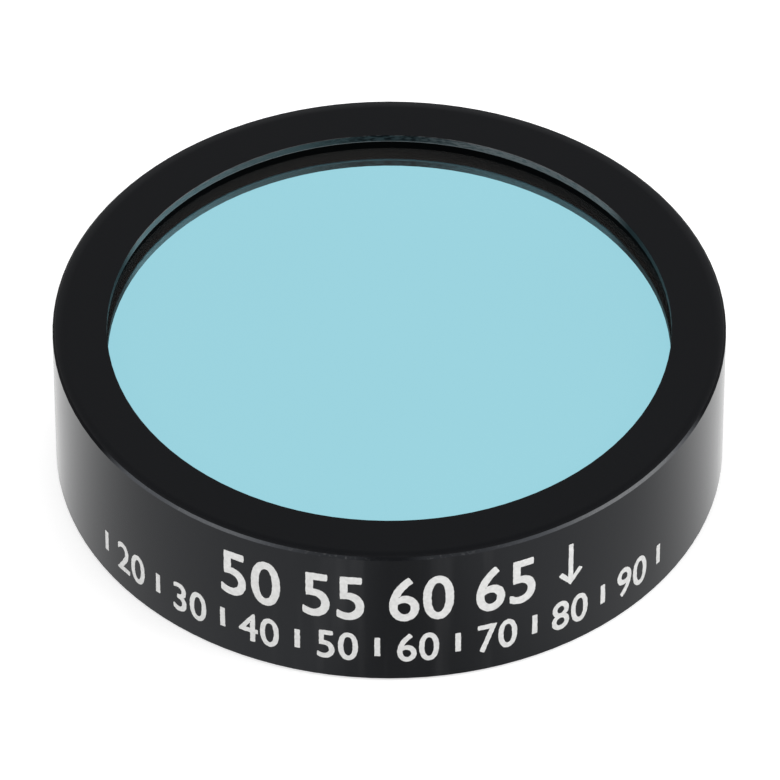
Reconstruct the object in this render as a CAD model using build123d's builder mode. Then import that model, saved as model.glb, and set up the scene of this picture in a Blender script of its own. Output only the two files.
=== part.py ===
from build123d import *
import os

# Mounted optical bandpass filter, millimetres.
# The optical axis is +Z. The origin is the middle of the back face, and light enters at the top,
# where the mirror-like coated glass lies behind the thin lip of the mount ring.

# Mount ring, turned from aluminium
outer_diameter = 25.4
ring_wall = 0.95
lip_width = 1.10
lip_thickness = 0.34
rim_chamfer = 0.10
lip_edge_break = 0.02
lip_corner_radius = 0.08
mouth_chamfer = 0.20

# Front spacer, a flat black washer between the lip and the glass
spacer_thickness = 0.46
spacer_setback = 0.15
spacer_clearance = 0.05

# Laminated stack, from the front: glass, epoxy, glass, epoxy, colour glass
bandpass_glass_thickness = 1.00
blocking_glass_thickness = 1.00
colour_glass_thickness = 1.60
epoxy_thickness = 0.08
glass_bevel = 0.15
seal_width = 0.30

# Retaining ring, pressed in from the back, and how deep it sits below the back face
retainer_height = 1.20
retainer_flare = 0.35
retainer_lead_in = 0.15
retainer_edge_break = 0.08
rear_recess = 0.54

# Radii, from the outside in
outer_radius = outer_diameter / 2
seat_radius = outer_radius - ring_wall
aperture_radius = seat_radius - lip_width
glass_radius = seat_radius - seal_width
glass_flat_radius = glass_radius - glass_bevel
spacer_inner_radius = aperture_radius + spacer_setback
spacer_outer_radius = seat_radius - spacer_clearance
spacer_chamfer = lip_corner_radius + lip_edge_break

# Levels, from the back face up
retainer_top = rear_recess + retainer_height
colour_glass_top = retainer_top + colour_glass_thickness
rear_epoxy_top = colour_glass_top + epoxy_thickness
blocking_glass_top = rear_epoxy_top + blocking_glass_thickness
front_epoxy_top = blocking_glass_top + epoxy_thickness
bandpass_glass_top = front_epoxy_top + bandpass_glass_thickness
lip_underside = bandpass_glass_top + spacer_thickness
ring_height = lip_underside + lip_thickness


def edges_at(part, radius, height):
    """The circular edges of a part at this radius and height."""
    circles = part.edges().filter_by(GeomType.CIRCLE)
    return circles.filter_by(
        lambda edge: abs(edge.radius - radius) < 1e-4 and abs(edge.arc_center.Z - height) < 1e-4
    )


def glass_disc(top, thickness):
    """A ground and polished disc, its two sharp edges bevelled."""
    with BuildPart() as disc:
        with BuildSketch(Plane.XY.offset(top)):
            Circle(glass_radius)
        extrude(amount=-thickness)
        chamfer(disc.edges().filter_by(GeomType.CIRCLE), glass_bevel)
    return disc.part


def epoxy_layer(top):
    """The index-matched film that joins the flats of two discs."""
    with BuildPart() as layer:
        with BuildSketch(Plane.XY.offset(top)):
            Circle(glass_flat_radius)
        extrude(amount=-epoxy_thickness)
    return layer.part


# Mount ring: a sleeve with a thin lip at the front and an open mouth at the back
with BuildPart() as mount_ring:
    with BuildSketch(Plane.XZ):
        with BuildLine():
            Polyline(
                (seat_radius, 0),
                (outer_radius, 0),
                (outer_radius, ring_height),
                (aperture_radius, ring_height),
                (aperture_radius, lip_underside),
                (seat_radius, lip_underside),
                close=True,
            )
        make_face()
    revolve(axis=Axis.Z)
    chamfer(edges_at(mount_ring, outer_radius, 0), rim_chamfer)
    chamfer(edges_at(mount_ring, outer_radius, ring_height), rim_chamfer)
    chamfer(edges_at(mount_ring, aperture_radius, ring_height), lip_edge_break)
    chamfer(edges_at(mount_ring, aperture_radius, lip_underside), lip_edge_break)
    fillet(edges_at(mount_ring, seat_radius, lip_underside), lip_corner_radius)
    chamfer(edges_at(mount_ring, seat_radius, 0), mouth_chamfer)

# Front spacer: set back from the lip's edge, its upper corner cut to clear the ring's inner corner
with BuildPart() as front_spacer:
    with BuildSketch(Plane.XY.offset(bandpass_glass_top)):
        Circle(spacer_outer_radius)
        Circle(spacer_inner_radius, mode=Mode.SUBTRACT)
    extrude(amount=spacer_thickness)
    chamfer(edges_at(front_spacer, spacer_outer_radius, lip_underside), spacer_chamfer)

# Laminated stack
stack = {
    "bandpass_glass": glass_disc(bandpass_glass_top, bandpass_glass_thickness),
    "front_epoxy": epoxy_layer(front_epoxy_top),
    "blocking_glass": glass_disc(blocking_glass_top, blocking_glass_thickness),
    "rear_epoxy": epoxy_layer(rear_epoxy_top),
    "colour_glass": glass_disc(colour_glass_top, colour_glass_thickness),
}

# Edge seal: the moisture seal that fills all that the stack leaves of the seat bore
with BuildPart() as edge_seal:
    with BuildSketch(Plane.XY.offset(retainer_top)):
        Circle(seat_radius)
        Circle(glass_flat_radius, mode=Mode.SUBTRACT)
    extrude(amount=bandpass_glass_top - retainer_top)
    for layer in stack.values():
        add(layer, mode=Mode.SUBTRACT)

# Retaining ring: line to line in the seat bore, its bore flared towards the back
with BuildPart() as retaining_ring:
    with BuildSketch(Plane.XY.offset(rear_recess)):
        Circle(seat_radius)
        Circle(aperture_radius, mode=Mode.SUBTRACT)
    extrude(amount=retainer_height)
    chamfer(edges_at(retaining_ring, aperture_radius, rear_recess), retainer_flare)
    chamfer(edges_at(retaining_ring, seat_radius, rear_recess), retainer_edge_break)
    chamfer(edges_at(retaining_ring, seat_radius, retainer_top), retainer_lead_in)

pieces = {
    "mount_ring": mount_ring.part,
    "front_spacer": front_spacer.part,
    **stack,
    "edge_seal": edge_seal.part,
    "retaining_ring": retaining_ring.part,
}

os.makedirs("parts", exist_ok=True)
for name, piece in pieces.items():
    piece.label = name
    export_step(piece, f"parts/{name}.step")
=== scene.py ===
import math

import bpy
from mathutils import Matrix, Vector


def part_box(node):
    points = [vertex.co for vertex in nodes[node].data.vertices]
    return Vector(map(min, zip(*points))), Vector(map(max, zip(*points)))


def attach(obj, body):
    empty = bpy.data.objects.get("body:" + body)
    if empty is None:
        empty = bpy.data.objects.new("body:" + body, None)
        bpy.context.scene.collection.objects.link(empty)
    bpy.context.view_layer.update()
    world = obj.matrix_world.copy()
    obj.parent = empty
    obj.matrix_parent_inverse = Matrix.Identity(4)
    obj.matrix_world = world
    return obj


bl_info = {
    "name": "Mounted Optical Bandpass Filter",
    "version": (1, 0, 0),
    "blender": (4, 5, 0),
    "location": "View3D > Sidebar > Filter",
    "description": "Finishes a mounted optical bandpass filter's pieces and adds its marks and a stage",
    "category": "Add Mesh",
}

MM = 0.001  # metres in a millimetre
SEED = 7

# The dial's plain numbers
UPPER_NUMBERS = ("50", "55", "60", "65")
LOWER_NUMBERS = ("20", "30", "40", "50", "60", "70", "80", "90")

# The built-in font: a digit's height as a share of the font's size, and the gap between two digits
CAP_HEIGHT = 0.729
DIGIT_SPACING = 1.04
CURVE_STEPS = 8  # straight pieces in each curved piece of a digit's outline

# The paint's edge: how many noise cells a metre has, and the distance at which the skin's rims are joined
EDGE_GRAIN = 6500.0
WELD = 1e-7

# Softboxes: metres away, and for each its name, azimuth, elevation, width, height, share of the
# brightness, and 1 where reflections see it
SOFTBOX_REACH = 0.28
SOFTBOXES = (
    ("left_softbox", 220, 38, 0.30, 0.10, 1.0, 1),
    ("right_softbox", 318, 38, 0.26, 0.10, 0.7, 1),
    ("side_softbox", 350, 30, 0.16, 0.14, 1.4, 1),
    ("rear_softbox", 90, 50, 0.24, 0.20, 0.5, 0),
)
FLOOR_HALF = 1.5  # metres from the floor's middle to its sides
FLOOR_GAP = 0.02 * MM  # between the floor and the ring's back face

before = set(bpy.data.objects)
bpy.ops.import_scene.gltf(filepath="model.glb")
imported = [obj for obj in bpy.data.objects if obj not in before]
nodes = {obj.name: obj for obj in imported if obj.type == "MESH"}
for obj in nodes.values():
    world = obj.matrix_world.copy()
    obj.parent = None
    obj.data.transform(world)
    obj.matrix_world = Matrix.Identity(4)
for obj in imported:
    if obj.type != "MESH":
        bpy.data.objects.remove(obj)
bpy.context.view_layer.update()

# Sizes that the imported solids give, in metres
ring_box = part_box("mount_ring")
BACK_FACE = ring_box[0].z
FRONT_FACE = ring_box[1].z
WALL_RADIUS = ring_box[1].x
GLASS_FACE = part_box("bandpass_glass")[1].z
LIP_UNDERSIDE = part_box("front_spacer")[1].z
LIP_RADIUS = 10.65 * MM  # the clear aperture, which no box gives


def size(text, default, description):
    """A length of the object, in metres."""
    return bpy.props.FloatProperty(
        name=text, default=default, description=description, unit="LENGTH", precision=5
    )


def number(text, default, description):
    """A plain number: a share, a count or a strength."""
    return bpy.props.FloatProperty(name=text, default=default, description=description)


def colour(text, default, description):
    """A colour in linear light."""
    return bpy.props.FloatVectorProperty(
        name=text, default=default, description=description, subtype="COLOR", size=3, min=0, max=1
    )


def angle(text, degrees, description):
    """An angle, given in degrees and kept in radians."""
    return bpy.props.FloatProperty(
        name=text, default=math.radians(degrees), description=description, subtype="ANGLE"
    )


class FILTER_PG_metal(bpy.types.PropertyGroup):
    """The black anodised ring and the ring that holds the glass in."""

    anodised: colour("Anodised", (0.0014, 0.0015, 0.0018), "Black anodised aluminium")
    blasted: colour("Blasted face", (0.0012, 0.0013, 0.0017), "Anodised faces, finely blasted")
    # Painted highlight: a lighter colour on the front face's outer rim, standing in for the light that the
    # rim catches
    rim_highlight: colour("Worn edge", (0.085, 0.085, 0.089), "Thin anodising on a turned edge")
    smeared: colour("Smeared", (0.0110, 0.0110, 0.0115), "Faint upright smears on the wall")
    # Partly scuffs, partly painted light: the grey that the softboxes light on the lip's wall
    scuffed_and_lit: colour("Scuffed", (0.130, 0.129, 0.131), "The lip's wall where tools have rubbed it")
    bare: colour("Bare metal", (0.34, 0.345, 0.35), "Where a streak or fleck is nearly bare")
    sheen: colour("Sheen", (0.86, 0.91, 1.0), "Tint of what the anodising reflects")
    speckle: size("Speckle", 0.06 * MM, "Size of the blasted speckle")
    turning: size("Turning pitch", 0.045 * MM, "Feed of the lathe tool between two grooves")


class FILTER_PG_glass(bpy.types.PropertyGroup):
    """The stack's glass, epoxy, seal and spacer."""

    mirror: colour("Mirror coating", (0.320, 0.657, 0.748), "What the coated front glass reflects")
    veil: colour("Veil", (0.55, 0.52, 0.50), "Faint haze on the coating")
    haze: number("Haze", 0.034, "Share of the haze on the coating")
    red: colour("Colour glass", (0.090, 0.004, 0.003), "The deep red rear glass")
    clear: colour("Clear glass", (0.62, 0.66, 0.60), "Edges of the blocking glass")
    epoxy: colour("Epoxy", (0.62, 0.58, 0.42), "Index-matched epoxy")
    black: colour("Black film", (0.0012, 0.0012, 0.0013), "Spacer")
    seal: colour("Seal", (0.0050, 0.0050, 0.0054), "Filled epoxy round the stack")


class FILTER_PG_marks(bpy.types.PropertyGroup):
    """The paint-filled marks on the outer wall: a plain dial in two rows and the light's arrow."""

    paint: colour("Paint", (0.80, 0.80, 0.79), "White filler")
    proud: size("Proud", 0.008 * MM, "How far the paint stands out of the wall")
    sunk: size("Sunk", 0.020 * MM, "How deep the paint is seated in the wall")
    wobble: size("Wobble", 0.030 * MM, "Unevenness of the paint's edge")
    step: size("Step", 0.05 * MM, "Distance between the points of the paint's edge")
    centre: angle("Row centre", 268.0, "Direction of the dial's middle, from +X about +Z")
    pitch: angle("Lower pitch", 13.6, "Turn from one number of the lower row to the next")
    upper_pitch: angle("Upper pitch", 14.7, "Turn from one number of the upper row to the next")
    narrow: number("Digit width", 0.80, "Width of a digit as a share of the plain font's")
    upper_depth: size("Upper row", 2.03 * MM, "Depth of the upper row's middle below the front face")
    upper_height: size("Upper digit", 2.26 * MM, "Height of a digit in the upper row")
    upper_weight: size("Upper weight", 0.036 * MM, "How much bolder than the plain font the upper row is")
    lower_depth: size("Lower row", 4.555 * MM, "Depth of the lower row's middle below the front face")
    lower_height: size("Lower digit", 1.46 * MM, "Height of a digit in the lower row")
    lower_weight: size("Lower weight", 0.022 * MM, "How much bolder than the plain font the lower row is")
    tick_height: size("Tick height", 0.95 * MM, "Height of a tick between two numbers")
    tick_width: size("Tick width", 0.21 * MM, "Width of a tick")
    arrow_height: size("Arrow height", 2.08 * MM, "Height of the arrow")
    arrow_width: size("Arrow width", 1.06 * MM, "Width of the arrow's head")
    arrow_stroke: size("Arrow stroke", 0.20 * MM, "Width of the arrow's lines")
    arrow_top: size("Arrow top", 1.10 * MM, "Depth of the arrow's top below the front face")
    arrow_steps: number("Arrow steps", 2.5, "Lower pitches from the dial's middle to the arrow")


class FILTER_PG_stage(bpy.types.PropertyGroup):
    """The floor, the lights and the camera."""

    floor: colour("Floor", (0.80, 0.80, 0.80), "Pale floor")
    floor_glow: number("Floor glow", 0.50, "What the camera sees of the floor on top of the light")
    floor_front: number("Floor in front", 0.66, "Brightness that reflections see in front of the object")
    floor_side: number("Floor beside", 0.98, "Brightness that reflections see beside the object")
    floor_dip: number("Floor dip", 0.30, "How much darker the floor is between object and camera")
    world_light: number("World light", 0.45, "Strength of the white surroundings as a light")
    softbox: number("Softbox", 3.2, "Brightness of the left softbox, which the others have a share of")
    softbox_seen: number("Softbox seen", 1.3, "Brightness of a softbox in mirrors, so they don't clip")
    camera_distance: size("Camera distance", 368.7 * MM, "From the lens to the aim point")
    camera_elevation: angle("Camera elevation", 43.353, "Height of the view over the floor")
    aim_side: size("Aim sideways", 0.027 * MM, "Aim point to the right of the front face's middle")
    aim_up: size("Aim up", -2.4996 * MM, "Aim point above the front face's middle, across the view")
    lens: number("Lens", 451.39, "Focal length in millimetres")


class Value:
    """A shader socket with the operators that the materials use."""

    def __init__(self, shading, socket):
        self.shading, self.socket = shading, socket

    def math(self, operation, *others):
        return self.shading.math(operation, self, *others)

    def __add__(self, other):
        return self.math("ADD", other)

    def __sub__(self, other):
        return self.math("SUBTRACT", other)

    def __rsub__(self, other):
        return self.shading.math("SUBTRACT", other, self)

    def __mul__(self, other):
        return self.math("MULTIPLY", other)

    __radd__ = __add__
    __rmul__ = __mul__

    def ramp(self, low, high):
        """0 below low, 1 above high, smooth between. With high under low it falls."""
        settings = {"interpolation_type": "SMOOTHSTEP"}
        values = {"Value": self, "From Min": low, "From Max": high}
        return self.shading.node("ShaderNodeMapRange", settings, values)[0]


def find_socket(sockets, key):
    """A socket by its place, or by its identifier or name among those in use."""
    if isinstance(key, int):
        return sockets[key]
    return next(s for s in sockets if s.enabled and key in (s.identifier, s.name))


class Shading:
    """A shader tree whose nodes are written as expressions."""

    def __init__(self, tree):
        self.tree = tree
        tree.nodes.clear()

    def node(self, kind, settings, values, output=None):
        """A node: its settings are set first, then its sockets. Gives the named output, or all in a list."""
        made = self.tree.nodes.new(kind)
        for key, value in settings.items():
            setattr(made, key, value)
        for key, value in values.items():
            socket = find_socket(made.inputs, key)
            if isinstance(value, Value):
                self.tree.links.new(value.socket, socket)
            elif socket.type == "RGBA" and len(value) == 3:
                socket.default_value = (*value, 1)
            else:
                socket.default_value = value
        if output is not None:
            return Value(self, find_socket(made.outputs, output))
        return [Value(self, socket) for socket in made.outputs if socket.enabled]

    def math(self, operation, *values):
        return self.node("ShaderNodeMath", {"operation": operation}, dict(enumerate(values)))[0]

    def rays(self, *kinds):
        """1 for rays of these kinds, such as Camera or Glossy, and 0 for others."""
        first, *others = (self.node("ShaderNodeLightPath", {}, {}, f"Is {kind} Ray") for kind in kinds)
        return sum(others, first)


class Finish(Shading):
    """A material, with the place on the object in millimetres."""

    def __init__(self, name):
        self.material = bpy.data.materials.new(name)
        self.material.use_nodes = True
        super().__init__(self.material.node_tree)
        metres = self.node("ShaderNodeTexCoord", {}, {}, "Object")
        scale = {"operation": "SCALE"}
        self.place = self.node("ShaderNodeVectorMath", scale, {"Vector": metres, "Scale": 1 / MM})[0]
        split = {"Vector": self.place}
        self.x, self.y, self.z = (
            self.node("ShaderNodeSeparateXYZ", {}, split, axis) for axis in "XYZ"
        )
        self.radius = (self.x * self.x + self.y * self.y).math("SQRT")
        self.turn = self.y.math("ARCTAN2", self.x)

    def noise(self, grain, detail=3.0, vector=None):
        """Noise from 0 to 1 whose features are about this many millimetres wide."""
        values = {"Vector": vector or self.place, "Scale": 1 / grain, "Detail": detail}
        return self.node("ShaderNodeTexNoise", {"noise_dimensions": "3D"}, values)[0]

    def mix(self, factor, low, high):
        """The colour low where factor is 0, and high where it is 1."""
        values = {"Factor_Float": factor, "A_Color": low, "B_Color": high}
        return self.node("ShaderNodeMix", {"data_type": "RGBA"}, values, "Result_Color")

    def tint(self, base, share, noise):
        """A colour made darker and lighter by a share of itself, as the noise goes from 0 to 1."""
        darker = tuple(c * (1 - share) for c in base)
        lighter = tuple(min(c * (1 + share), 1) for c in base)
        return self.mix(noise, darker, lighter)

    def combine(self, x, y, z):
        return self.node("ShaderNodeCombineXYZ", {}, {"X": x, "Y": y, "Z": z})[0]

    def bump(self, height):
        """A normal from a height in millimetres."""
        return self.node("ShaderNodeBump", {}, {"Height": height, "Distance": MM, "Strength": 1.0})[0]

    def surface(self, values):
        return self.node("ShaderNodeBsdfPrincipled", {}, values, "BSDF")

    def blend(self, factor, low, high):
        """The shader low where factor is 0, and high where it is 1."""
        return self.node("ShaderNodeMixShader", {}, {0: factor, 1: low, 2: high})[0]

    def finish(self, shader):
        self.node("ShaderNodeOutputMaterial", {}, {"Surface": shader})
        return self.material


def dress(node, material):
    """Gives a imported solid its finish."""
    nodes[node].data.materials.clear()
    nodes[node].data.materials.append(material)


class TurnedFinish(Finish):
    """Black anodised aluminium on a turned ring. Lengths and the places of masks are in millimetres."""

    def __init__(self, name, settings, box, lip_radius, lip_underside):
        super().__init__(name)
        self.settings = settings
        self.sheen = tuple(settings.sheen)
        self.low, self.high, self.wall_radius = box[0].z / MM, box[1].z / MM, box[1].x / MM
        self.lip_radius, self.lip_underside = lip_radius / MM, lip_underside / MM
        self.past_wall = self.radius - self.wall_radius
        self.speckle = self.noise(settings.speckle / MM, 2.0)

    def grooves(self, along):
        """What the lathe tool's feed leaves, from -1 to 1."""
        return (along * (2 * math.pi / (self.settings.turning / MM))).math("SINE")

    def at_ends(self, start, end):
        """0 where both end faces are further away than start, and 1 where one is nearer than end."""
        top = self.z.ramp(self.high - start, self.high - end)
        return top + self.z.ramp(self.low + start, self.low + end)

    def blasted(self, tone, roughness, specular, relief):
        """Finely blasted, so it stays dark where it mirrors the surroundings."""
        return self.surface(
            {
                "Base Color": tone,
                "Roughness": self.speckle * 0.16 + roughness,
                "Specular IOR Level": specular,
                "Specular Tint": self.sheen,
                "Normal": self.bump(relief),
            }
        )

    def bare(self, grain, roughness, relief):
        """Metal that the anodising has left bare."""
        return self.surface(
            {
                "Base Color": self.tint(self.settings.bare, 0.2, grain),
                "Metallic": 1.0,
                "Roughness": grain * 0.10 + roughness,
                "Normal": relief,
            }
        )

    def face(self):
        """The end faces: blasted, with a faint painted highlight at the outer edge, and rolled over towards
        it.
        """
        s = self.settings
        highlight_width, highlight_depth, highlight_share = 0.30, 0.20, 0.12
        rolled_width, rolled_slope = 0.45, 0.54
        near_edge = self.past_wall.ramp(-highlight_width, 0.0)
        near_top = self.z.ramp(self.high - highlight_depth, self.high - 0.02)
        # Painted highlight: the front face is made lighter in colour near its outer edge
        rim_highlight = near_edge * near_top * self.noise(0.35, 4.0) * highlight_share
        tone = self.mix(rim_highlight, self.tint(s.blasted, 0.45, self.speckle), tuple(s.rim_highlight))
        rolled = (self.past_wall + rolled_width).math("MAXIMUM", 0.0)
        relief = self.speckle * 0.0028 + self.grooves(self.radius) * 0.00018
        return self.blasted(tone, 0.40, 0.09, relief - rolled * rolled * rolled_slope)

    def wall(self):
        """The outer wall: satin, streaked by the cutting edge, with faint upright smears at the front."""
        s = self.settings
        streak = self.noise(0.12, 4.0, self.combine(self.turn * 0.9, 0.0, self.z))
        upright = self.combine(self.turn * self.wall_radius, 0.0, self.z * 0.08)
        in_front = self.y.ramp(1.0 - self.wall_radius, 0.4 - self.wall_radius)
        smear = self.noise(0.8, 2.0, upright).ramp(0.46, 0.72) * in_front
        relief = self.speckle * 0.00042 + self.grooves(self.z) * 0.00012 + streak * 0.0006
        return self.surface(
            {
                "Base Color": self.mix(smear, self.tint(s.anodised, 0.30, self.speckle), tuple(s.smeared)),
                "Roughness": streak * 0.05 + self.noise(2.2, 2.0) * 0.03 + 0.07,
                "Specular IOR Level": 0.42,
                "Specular Tint": self.sheen,
                "Normal": self.bump(relief),
            }
        )

    def edge(self):
        """The outer edges: cut last, so they are rougher and in places bare, with two bare stretches at the
        front that are painted highlights, and dull towards the back.
        """
        s, x, y = self.settings, self.x, self.y
        fleck = self.noise(0.11, 4.0)
        relief = self.bump(fleck * 0.006)
        black = self.surface(
            {
                "Base Color": self.tint(s.anodised, 0.4, self.speckle),
                "Roughness": fleck * 0.16 + 0.12,
                "IOR": 1.8,
                "Specular IOR Level": 0.50,
                "Specular Tint": self.sheen,
                "Normal": relief,
            }
        )
        # Bare: flecks, most of them at the front, and on either side of them a bare stretch that is a
        # painted highlight, standing in for the softboxes' reflections
        flecks = fleck.ramp(0.54, 0.70) * (x.ramp(-5.0, -2.0) * x.ramp(5.0, 2.0) * 0.30 + 0.06)
        painted_highlight_right = x.ramp(5.4, 8.8) * x.ramp(11.3, 9.6) * 0.40
        painted_highlight_left = x.ramp(-4.2, -6.2) * x.ramp(-8.6, -7.2) * 0.11
        polished = self.blend(flecks + painted_highlight_right + painted_highlight_left, black, self.bare(fleck, 0.16, relief))

        # Dull: the polish fades towards +Y, later on the +X side, and is weaker in the middle
        dull = self.blasted(self.tint(s.blasted, 0.45, self.speckle), 0.44, 0.07, self.speckle * 0.0028)
        later = x.ramp(-2.0, 2.0) * 1.9
        weaker = x.ramp(-5.6, -2.4) * x.ramp(6.6, 2.4) * 0.70 + x.ramp(-1.6, -0.4) * x.ramp(1.6, 0.4) * 0.25
        return self.blend((y - later).ramp(-8.4, -6.6) + weaker, polished, dull)

    def lip(self, face):
        """The lip's wall: streaked and scratched, with grey scuffs towards +X that are partly real and
        partly painted light from the softboxes, a painted highlight along its lower edge, and nearly bare
        towards -X.
        """
        s, x = self.settings, self.x
        streak = self.noise(0.05, 4.0, self.combine(self.turn * 1.4, 0.0, self.z * 2.0))
        scratch = self.noise(0.07, 3.0, self.combine(self.turn * 2.2, 0.0, self.z * 0.8)).ramp(0.40, 0.60)
        relief = self.bump(streak * 0.0015)
        black = self.surface(
            {
                "Base Color": self.tint(s.anodised, 0.3, streak),
                "Roughness": streak * 0.10 + 0.14,
                "IOR": 1.8,
                "Specular IOR Level": 0.45,
                "Normal": relief,
            }
        )
        scuffed_and_lit = self.surface(
            {
                "Base Color": self.tint(s.scuffed_and_lit, 0.4, streak),
                "Roughness": streak * 0.10 + 0.24,
                "Specular IOR Level": 0.12,
                "Normal": relief,
            }
        )
        # Painted highlight: a grey line along the lip's lower edge, added into the scuffs
        bottom = self.z.ramp(self.lip_underside + 0.07, self.lip_underside + 0.03)
        # Scuffs partly real and partly painted light: grey where the softboxes light the lip's wall towards
        # +X
        scuffs_and_painted_light = x.ramp(0.0, 4.0) * 0.85 + x.ramp(-3.0, -7.0) * 0.30
        scuffs_and_painted_light = scuffs_and_painted_light * (streak.ramp(0.10, 0.45) * 0.50 + scratch * 0.90) + bottom + 0.10
        shine = streak.ramp(0.30, 0.75) * (x.ramp(-5.0, -8.0) * 0.55 + 0.02)
        lip = self.blend(shine, self.blend(scuffs_and_painted_light, black, scuffed_and_lit), self.bare(streak, 0.14, relief))

        # As dull as the faces far out along X, and in the middle between the scratches
        ends = x.ramp(8.2, 9.2) + x.ramp(-9.4, -10.2)
        middle = x.ramp(-4.5, -0.5) * x.ramp(4.5, 0.5) * (1 - scratch * 0.5) * (1 - bottom)
        return self.blend(ends + middle, lip, face)


def turned_metal(name, settings, box, lip_radius, lip_underside):
    """Black anodised aluminium, by where it lies on the ring: faces, wall, edges and the lip's wall."""
    f = TurnedFinish(name, settings, box, lip_radius, lip_underside)
    face, wall = f.face(), f.wall()
    lip = f.lip(face)

    # The face's rim on the +Y side is smoother than the rest of it
    smoother = f.past_wall.ramp(-0.50, -0.15) * f.y.ramp(-6.0, 12.0) * 0.20
    face = f.blend(smoother, face, wall)

    on_face = f.at_ends(0.012, 0.004)
    on_edge = f.at_ends(0.110, 0.100) * f.past_wall.ramp(-0.125, -0.110)
    on_lip = f.radius.ramp(f.lip_radius + 0.05, f.lip_radius + 0.03) * (1 - on_face)
    outside = f.blend(on_face, f.blend(on_edge, wall, f.edge()), face)
    return f.finish(f.blend(on_lip, outside, lip))


def mirror_coating(settings, face_level):
    """The coated front glass: a cyan mirror on its front, plain glass behind."""
    f = Finish("mirror_coated_glass")
    grain = f.noise(0.05, 2.0)
    drift = f.noise(14.0, 1.0)
    coat = f.surface(
        {
            "Base Color": f.tint(settings.mirror, 0.03, grain * 0.4 + drift * 0.6),
            "Metallic": 1.0,
            "Roughness": grain * 0.01 + 0.015,
        }
    )
    haze = f.surface(
        {"Base Color": f.tint(settings.veil, 0.1, grain), "Roughness": 0.6, "Specular IOR Level": 0.2}
    )
    body = f.surface(
        {
            "Base Color": f.tint(settings.clear, 0.05, f.noise(0.2)),
            "Roughness": 0.35,
            "Specular IOR Level": 0.5,
        }
    )
    on_front = f.z.ramp(face_level - 0.02, face_level - 0.01)
    return f.finish(f.blend(on_front, body, f.blend(settings.haze, coat, haze)))


def red_glass(settings):
    """Deep red long-pass glass over a mirror-like stack, polished."""
    f = Finish("colour_glass")
    grain = f.noise(0.06, 2.0)
    return f.finish(
        f.surface(
            {
                "Base Color": f.tint(settings.red, 0.06, grain * 0.3 + f.noise(9.0, 1.0) * 0.7),
                "Metallic": 0.85,
                "Roughness": grain * 0.01 + 0.02,
                "Coat Weight": 1.0,
                "Coat Roughness": 0.01,
            }
        )
    )


def ground_glass(settings):
    """Clear glass with a coating, seen only at its ground edge."""
    f = Finish("blocking_glass")
    grain = f.noise(0.08)
    return f.finish(
        f.surface(
            {
                "Base Color": f.tint(settings.clear, 0.08, grain),
                "Roughness": grain * 0.2 + 0.3,
                "Normal": f.bump(grain * 0.003),
            }
        )
    )


def cured_epoxy(settings):
    """Index-matched epoxy, faintly yellow."""
    f = Finish("optical_epoxy")
    cloud = f.noise(1.5)
    return f.finish(
        f.surface({"Base Color": f.tint(settings.epoxy, 0.08, cloud), "Roughness": cloud * 0.1 + 0.2})
    )


def black_film(name, tone, grain_size, roughness, specular):
    """Matte black film or filled epoxy."""
    f = Finish(name)
    grain = f.noise(grain_size)
    return f.finish(
        f.surface(
            {
                "Base Color": f.tint(tone, 0.4, grain),
                "Roughness": grain * 0.15 + roughness,
                "Specular IOR Level": specular,
                "Normal": f.bump(grain * 0.004),
            }
        )
    )


def white_paint(settings):
    """White filler, slightly mottled."""
    f = Finish("white_paint")
    mottle = f.noise(0.16, 4.0)
    return f.finish(
        f.surface(
            {
                "Base Color": f.tint(settings.paint, 0.22, mottle),
                "Roughness": mottle * 0.15 + 0.45,
                "Specular IOR Level": 0.3,
                "Normal": f.bump(mottle * 0.012),
            }
        )
    )


class GeometryTree:
    """A geometry node tree, with named inputs for its sizes."""

    def __init__(self, name, inputs):
        self.tree = bpy.data.node_groups.new(name, "GeometryNodeTree")
        interface = self.tree.interface
        interface.new_socket("Geometry", in_out="INPUT", socket_type="NodeSocketGeometry")
        for key, kind in inputs.items():
            interface.new_socket(key, in_out="INPUT", socket_type=kind)
        interface.new_socket("Geometry", in_out="OUTPUT", socket_type="NodeSocketGeometry")
        self.given = self.tree.nodes.new("NodeGroupInput").outputs

    def node(self, kind, values, output=0, **settings):
        """A node with its settings set first, then its sockets. Gives one output socket."""
        made = self.tree.nodes.new(kind)
        for key, value in settings.items():
            setattr(made, key, value)
        for key, value in values.items():
            socket = find_socket(made.inputs, key)
            if isinstance(value, (list, tuple)) and isinstance(value[0], bpy.types.NodeSocket):
                for one in value:
                    self.tree.links.new(one, socket)
            elif isinstance(value, bpy.types.NodeSocket):
                self.tree.links.new(value, socket)
            else:
                socket.default_value = value
        return find_socket(made.outputs, output)

    def math(self, operation, *values):
        return self.node("ShaderNodeMath", dict(enumerate(values)), operation=operation)

    def output(self, socket):
        self.tree.links.new(socket, self.tree.nodes.new("NodeGroupOutput").inputs[0])


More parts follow.
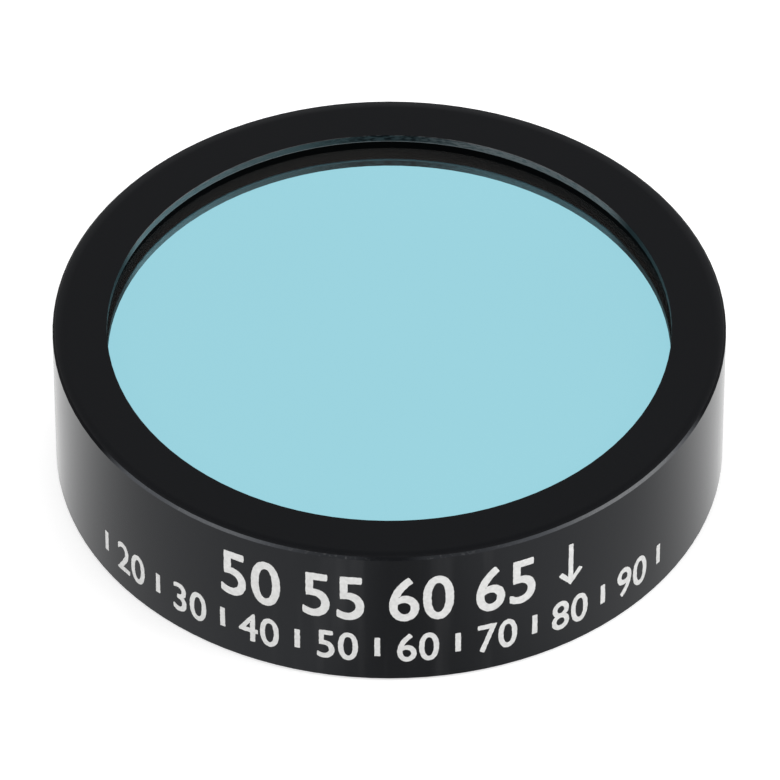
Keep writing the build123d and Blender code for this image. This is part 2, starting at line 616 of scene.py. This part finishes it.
def paint_tree(name, with_ticks):
    """Flat outlines in X and Y become paint on the wall: X runs round it, Y up it.

    The outlines are made uneven, filled, thickened and wrapped. With ticks, each outline is repeated
    at an even pitch first.
    """
    lengths = ("Radius", "Level", "Proud", "Sunk", "Wobble", "Step", "Centre", "Pitch")
    kinds = {key: "NodeSocketFloat" for key in lengths}
    g = GeometryTree(name, {**kinds, "Count": "NodeSocketInt", "Material": "NodeSocketMaterial"})
    given = g.given
    outlines = given["Geometry"]
    if with_ticks:
        arc = g.math("MULTIPLY", given["Pitch"], given["Radius"])
        half = g.math("MULTIPLY", g.math("SUBTRACT", given["Count"], 1.0), -0.5)
        start = g.node("ShaderNodeCombineXYZ", {"X": g.math("MULTIPLY", arc, half)})
        step = g.node("ShaderNodeCombineXYZ", {"X": arc})
        line = g.node(
            "GeometryNodeMeshLine", {"Count": given["Count"], "Start Location": start, "Offset": step},
            mode="OFFSET",
        )
        placed = g.node("GeometryNodeInstanceOnPoints", {"Points": line, "Instance": outlines})
        outlines = g.node("GeometryNodeRealizeInstances", {"Geometry": placed})

    # Uneven edges: the outline is walked in small steps, and each point is nudged
    walked = g.node(
        "GeometryNodeResampleCurve", {"Curve": outlines, "Length": given["Step"]}, mode="LENGTH"
    )
    place = g.node("GeometryNodeInputPosition", {})
    noise = g.node(
        "ShaderNodeTexNoise", {"Vector": place, "W": float(SEED), "Scale": EDGE_GRAIN, "Detail": 2.0},
        output="Color", noise_dimensions="4D",
    )
    centred = g.node("ShaderNodeVectorMath", {0: noise, 1: (0.5, 0.5, 0.5)}, operation="SUBTRACT")
    nudge = g.node(
        "ShaderNodeVectorMath", {"Vector": centred, "Scale": given["Wobble"]}, operation="SCALE"
    )
    nudge = g.node("ShaderNodeVectorMath", {0: nudge, 1: (2.0, 2.0, 0.0)}, operation="MULTIPLY")
    uneven = g.node("GeometryNodeSetPosition", {"Geometry": walked, "Offset": nudge})

    # Filled and thickened into a closed skin, from inside the wall to proud of it
    flat = g.node("GeometryNodeFillCurve", {"Curve": uneven}, mode="TRIANGLES")
    thick = g.math("ADD", given["Proud"], given["Sunk"])
    up = g.node("ShaderNodeCombineXYZ", {"Z": 1.0})
    raised = g.node(
        "GeometryNodeExtrudeMesh", {"Mesh": flat, "Offset": up, "Offset Scale": thick, "Individual": False}
    )
    under = g.node("GeometryNodeFlipFaces", {"Mesh": flat})
    closed = g.node("GeometryNodeJoinGeometry", {"Geometry": [raised, under]})
    closed = g.node("GeometryNodeMergeByDistance", {"Geometry": closed, "Distance": WELD})

    # Wrapped: X becomes an angle, Y a level and Z the depth
    split = g.node("ShaderNodeSeparateXYZ", {"Vector": place}).node.outputs
    turn = g.math("ADD", g.math("DIVIDE", split["X"], given["Radius"]), given["Centre"])
    out = g.math("ADD", g.math("SUBTRACT", given["Radius"], given["Sunk"]), split["Z"])
    wrapped = g.node(
        "ShaderNodeCombineXYZ",
        {
            "X": g.math("MULTIPLY", out, g.math("COSINE", turn)),
            "Y": g.math("MULTIPLY", out, g.math("SINE", turn)),
            "Z": g.math("ADD", split["Y"], given["Level"]),
        },
    )
    bent = g.node("GeometryNodeSetPosition", {"Geometry": closed, "Position": wrapped})
    real = g.node("GeometryNodeRealizeInstances", {"Geometry": bent})
    g.output(g.node("GeometryNodeSetMaterial", {"Geometry": real, "Material": given["Material"]}))
    return g.tree


def paint_on_wall(name, outlines, tree, material, level, settings, centre, count=1, pitch=0.0):
    """Runs flat outlines through the tree and keeps the result as a plain mesh that rides with the ring.

    The level is in metres above the back face, and the centre and the pitch are angles about +Z.
    """
    source = bpy.data.objects.new(name + "_outlines", outlines)
    bpy.context.scene.collection.objects.link(source)
    modifier = source.modifiers.new("paint", "NODES")
    modifier.node_group = tree
    values = {
        "Radius": WALL_RADIUS,
        "Level": level,
        "Proud": settings.proud,
        "Sunk": settings.sunk,
        "Wobble": settings.wobble,
        "Step": settings.step,
        "Centre": centre,
        "Pitch": pitch,
        "Count": count,
        "Material": material,
    }
    for item in tree.interface.items_tree:
        if item.in_out == "INPUT" and item.name in values:
            modifier[item.identifier] = values[item.name]
    bpy.context.view_layer.update()
    evaluated = source.evaluated_get(bpy.context.evaluated_depsgraph_get())
    mesh = bpy.data.meshes.new_from_object(evaluated)
    mesh.name = name
    source.modifiers.clear()
    bpy.data.objects.remove(source)
    piece = bpy.data.objects.new(name, mesh)
    bpy.context.scene.collection.objects.link(piece)
    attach(piece, "root")


def digits(name, texts, height, weight, narrow, spacing):
    """One flat text curve of plain numbers, centred on X, with equal steps between the numbers' middles."""
    pieces = []
    for index, text in enumerate(texts):
        font = bpy.data.curves.new(name, "FONT")
        font.body = text
        font.size = height / CAP_HEIGHT
        font.align_x = "CENTER"
        font.space_character = DIGIT_SPACING
        font.resolution_u = 6
        carrier = bpy.data.objects.new(name, font)
        bpy.context.scene.collection.objects.link(carrier)
        bpy.context.view_layer.update()
        curve = carrier.to_curve(bpy.context.evaluated_depsgraph_get()).copy()
        bpy.data.objects.remove(carrier)
        shift = (index - (len(texts) - 1) / 2) * spacing
        curve.transform(Matrix.Translation((shift, -height / 2, 0)) @ Matrix.Diagonal((narrow, 1, 1, 1)))
        pieces.append(curve)
    return join_curves(name, pieces, weight)


def join_curves(name, curves, weight):
    """One poly curve with the closed outlines of several curves, their strokes made bolder by a weight."""
    joined = bpy.data.curves.new(name, "CURVE")
    joined.dimensions = "2D"
    joined.fill_mode = "NONE"
    for curve in curves:
        for spline in curve.splines:
            outline(joined, bolder(spline_points(spline), weight))
    return joined


def bolder(points, weight):
    """The outline moved sideways: a digit's outer outlines grow, and its holes, which run back, shrink."""
    moved = []
    for before, point, after in zip(points[-1:] + points[:-1], points, points[1:] + points[:1]):
        along = (after - before).normalized()
        moved.append(point + Vector((along.y, -along.x)) * weight)
    return moved


def spline_points(spline):
    """Points along a closed Bezier spline."""
    points = []
    ends = list(spline.bezier_points)
    for a, b in zip(ends, ends[1:] + ends[:1]):
        for k in range(CURVE_STEPS):
            t = k / CURVE_STEPS
            s = 1 - t
            p = a.co * s**3 + a.handle_right * 3 * s * s * t + b.handle_left * 3 * s * t * t + b.co * t**3
            points.append(p.xy)
    return points


def outline(curve, points):
    """Adds a closed poly outline to a flat curve."""
    spline = curve.splines.new("POLY")
    spline.points.add(len(points) - 1)
    for target, point in zip(spline.points, points):
        target.co = (point[0], point[1], 0, 1)
    spline.use_cyclic_u = True


def arrow_outline(height, width, stroke):
    """The outline of a downward arrow: a shaft and an open head of two strokes, centred on its height."""
    half = stroke / 2
    lean = math.radians(40)  # between the head's strokes and the shaft
    reach = (width / 2 - half * math.cos(lean)) / math.sin(lean)
    bottom = half / math.sin(lean)
    along = Vector((math.sin(lean), math.cos(lean)))
    across = Vector((math.cos(lean), -math.sin(lean)))
    tip = Vector((0, -bottom))
    outer = along * reach + across * half
    inner = along * reach - across * half
    inner_corner = along * (half * (1 + math.cos(lean)) / math.sin(lean)) - across * half
    top = Vector((half, height - bottom))
    right = [tip, outer, inner, inner_corner, top]
    left = [Vector((-p.x, p.y)) for p in reversed(right[1:])]
    middle = Vector((0, height / 2 - bottom))
    curve = bpy.data.curves.new("light_arrow", "CURVE")
    curve.dimensions = "2D"
    outline(curve, [p - middle for p in right + left])
    return curve


def tick_outline(width, height):
    """The outline of one upright tick, centred."""
    curve = bpy.data.curves.new("tick", "CURVE")
    curve.dimensions = "2D"
    x, y = width / 2, height / 2
    outline(curve, [(-x, -y), (x, -y), (x, y), (-x, y)])
    return curve


def area_lamp(name, place, target, width, height, brightness):
    """A soft rectangular lamp of this brightness that faces a point."""
    data = bpy.data.lights.new(name, "AREA")
    data.shape = "RECTANGLE"
    data.size, data.size_y = width, height
    data.energy = brightness * math.pi * width * height
    lamp = bpy.data.objects.new(name, data)
    lamp.location = place
    lamp.rotation_euler = (Vector(target) - Vector(place)).to_track_quat("-Z", "Y").to_euler()
    bpy.context.scene.collection.objects.link(lamp)
    return lamp


def around(azimuth, elevation, distance):
    """A point at this bearing from the origin, in degrees and metres."""
    a, e = math.radians(azimuth), math.radians(elevation)
    return Vector((math.cos(a) * math.cos(e), math.sin(a) * math.cos(e), math.sin(e))) * distance


def make_softboxes(settings):
    """Each softbox is a lamp that mirrors don't see, and a dimmer one that they do, so they don't clip."""
    centre = (0, 0, FRONT_FACE / 2)
    for name, azimuth, elevation, width, height, portion, seen in SOFTBOXES:
        place = around(azimuth, elevation, SOFTBOX_REACH)
        mirrored = settings.softbox_seen * seen
        rest = settings.softbox * portion - mirrored
        fill = area_lamp(name, place, centre, width, height, rest)
        fill.visible_glossy = False
        if seen:
            area_lamp(name + "_mirrored", place, centre, width, height, mirrored)


def make_floor(settings):
    """A pale floor that keeps the shadow. The camera and glossy rays see it near white."""
    half, level = FLOOR_HALF, BACK_FACE - FLOOR_GAP
    mesh = bpy.data.meshes.new("floor")
    corners = [(-half, -half, level), (half, -half, level), (half, half, level), (-half, half, level)]
    mesh.from_pydata(corners, [], [(0, 1, 2, 3)])
    floor = bpy.data.objects.new("floor", mesh)
    bpy.context.scene.collection.objects.link(floor)
    f = Finish("pale_floor")
    tone = f.tint(settings.floor, 0.01, f.noise(8.0))
    paper = f.surface({"Base Color": tone, "Roughness": 0.9, "Specular IOR Level": 0.1})
    glow = f.node("ShaderNodeEmission", {}, {"Color": f.rays("Camera") * settings.floor_glow})[0]
    lit = f.node("ShaderNodeAddShader", {}, {0: paper, 1: glow})[0]

    # What mirrors see of it is painted shade: dimmer in front of the object, where its shadow would fall,
    # and dimmest between it and the camera
    beside = f.y.ramp(-9.0, 1.0) * (settings.floor_side - settings.floor_front) + settings.floor_front
    dip = f.x.ramp(-3.5, 0.0) * f.x.ramp(9.0, 0.5) * f.y.ramp(-2.0, -10.0) * settings.floor_dip
    seen = f.node("ShaderNodeEmission", {}, {"Color": beside - dip})[0]
    mesh.materials.append(f.finish(f.blend(f.rays("Glossy", "Transmission"), lit, seen)))


def make_world(settings):
    """White surroundings, dimmer as a light than they look."""
    world = bpy.data.worlds.new("white_surroundings")
    world.use_nodes = True
    w = Shading(world.node_tree)
    seen = w.rays("Camera", "Glossy", "Transmission")
    strength = w.node("ShaderNodeMapRange", {}, {"Value": seen, "To Min": settings.world_light})[0]
    sky = w.node("ShaderNodeBackground", {}, {"Color": (1, 1, 1), "Strength": strength})[0]
    w.node("ShaderNodeOutputWorld", {}, {"Surface": sky})
    bpy.context.scene.world = world


def make_camera(settings):
    """The photograph's view: along +Y, looking down on the front face."""
    data = bpy.data.cameras.new("camera")
    data.lens = settings.lens
    data.sensor_width = 36
    camera = bpy.data.objects.new("camera", data)
    bpy.context.scene.collection.objects.link(camera)
    e = settings.camera_elevation
    back = Vector((0, -math.cos(e), math.sin(e)))
    up = Vector((0, math.sin(e), math.cos(e)))
    aim = Vector((settings.aim_side, 0, FRONT_FACE)) + up * settings.aim_up
    camera.location = aim + back * settings.camera_distance
    camera.rotation_euler = (-back).to_track_quat("-Z", "Y").to_euler()
    data.clip_start = 0.01
    bpy.context.scene.camera = camera


class FILTER_OT_mount_ring(bpy.types.Operator):
    """Finish the mount ring as black anodised aluminium"""

    bl_idname = "filter.mount_ring"
    bl_label = "Mount Ring"

    def execute(self, context):
        settings = context.scene.filter_metal
        dress("mount_ring", turned_metal("black_anodised", settings, ring_box, LIP_RADIUS, LIP_UNDERSIDE))
        return {"FINISHED"}


class FILTER_OT_retaining_ring(bpy.types.Operator):
    """Finish the ring that is pressed in from the back"""

    bl_idname = "filter.retaining_ring"
    bl_label = "Retaining Ring"

    def execute(self, context):
        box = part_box("retaining_ring")
        settings = context.scene.filter_metal
        # It has no lip: with a radius of 0 none of it counts as one
        dress("retaining_ring", turned_metal("black_anodised_retainer", settings, box, 0.0, box[0].z))
        return {"FINISHED"}


class FILTER_OT_glass_stack(bpy.types.Operator):
    """Finish the coated glass, the hidden stack, the seal and the spacer"""

    bl_idname = "filter.glass_stack"
    bl_label = "Glass Stack"

    def execute(self, context):
        settings = context.scene.filter_glass
        dress("bandpass_glass", mirror_coating(settings, GLASS_FACE / MM))
        dress("blocking_glass", ground_glass(settings))
        dress("colour_glass", red_glass(settings))
        epoxy = cured_epoxy(settings)
        dress("front_epoxy", epoxy)
        dress("rear_epoxy", epoxy)
        seal = black_film("seal_epoxy", settings.seal, grain_size=0.15, roughness=0.35, specular=0.40)
        dress("edge_seal", seal)
        film = black_film("black_spacer", settings.black, grain_size=0.05, roughness=0.70, specular=0.02)
        dress("front_spacer", film)
        return {"FINISHED"}


class FILTER_OT_dial_marks(bpy.types.Operator):
    """Paint a plain dial on the wall: two rows of numbers, ticks and the light's arrow"""

    bl_idname = "filter.dial_marks"
    bl_label = "Dial Marks"

    def execute(self, context):
        s = context.scene.filter_marks
        material = white_paint(s)
        plain = paint_tree("paint_on_wall", False)
        repeated = paint_tree("ticks_on_wall", True)
        upper, lower = FRONT_FACE - s.upper_depth, FRONT_FACE - s.lower_depth
        rows = (
            ("upper_numbers", UPPER_NUMBERS, s.upper_height, s.upper_weight, s.upper_pitch, upper),
            ("lower_numbers", LOWER_NUMBERS, s.lower_height, s.lower_weight, s.pitch, lower),
        )
        for name, texts, height, weight, pitch, level in rows:
            numbers = digits(name, texts, height, weight, s.narrow, pitch * WALL_RADIUS)
            paint_on_wall(name, numbers, plain, material, level, s, s.centre)
        tick = tick_outline(s.tick_width, s.tick_height)
        count = len(LOWER_NUMBERS) + 1
        paint_on_wall("dial_ticks", tick, repeated, material, lower, s, s.centre, count, s.pitch)
        arrow = arrow_outline(s.arrow_height, s.arrow_width, s.arrow_stroke)
        bearing = s.centre + s.pitch * s.arrow_steps
        level = FRONT_FACE - s.arrow_top - s.arrow_height / 2
        paint_on_wall("light_arrow", arrow, plain, material, level, s, bearing)
        return {"FINISHED"}


class FILTER_OT_stage(bpy.types.Operator):
    """Make the pale floor, the soft lights and the camera"""

    bl_idname = "filter.stage"
    bl_label = "Stage"

    def execute(self, context):
        settings = context.scene.filter_stage
        make_floor(settings)
        make_world(settings)
        make_softboxes(settings)
        make_camera(settings)
        context.scene.view_settings.view_transform = "Standard"
        return {"FINISHED"}


class FILTER_PT_panel(bpy.types.Panel):
    """The steps that finish the filter"""

    bl_idname = "FILTER_PT_panel"
    bl_label = "Bandpass Filter"
    bl_space_type = "VIEW_3D"
    bl_region_type = "UI"
    bl_category = "Filter"

    def draw(self, context):
        for operator in OPERATORS:
            self.layout.operator(operator.bl_idname)


OPERATORS = (
    FILTER_OT_mount_ring,
    FILTER_OT_retaining_ring,
    FILTER_OT_glass_stack,
    FILTER_OT_dial_marks,
    FILTER_OT_stage,
)
GROUPS = {
    "filter_metal": FILTER_PG_metal,
    "filter_glass": FILTER_PG_glass,
    "filter_marks": FILTER_PG_marks,
    "filter_stage": FILTER_PG_stage,
}


def register():
    for cls in (*GROUPS.values(), *OPERATORS, FILTER_PT_panel):
        bpy.utils.register_class(cls)
    for name, group in GROUPS.items():
        setattr(bpy.types.Scene, name, bpy.props.PointerProperty(type=group))


def unregister():
    for name in GROUPS:
        delattr(bpy.types.Scene, name)
    for cls in (FILTER_PT_panel, *reversed(OPERATORS), *reversed(GROUPS.values())):
        bpy.utils.unregister_class(cls)


def main():
    register()
    bpy.ops.filter.mount_ring()
    bpy.ops.filter.retaining_ring()
    bpy.ops.filter.glass_stack()
    bpy.ops.filter.dial_marks()
    bpy.ops.filter.stage()


if __name__ == "__main__":
    main()
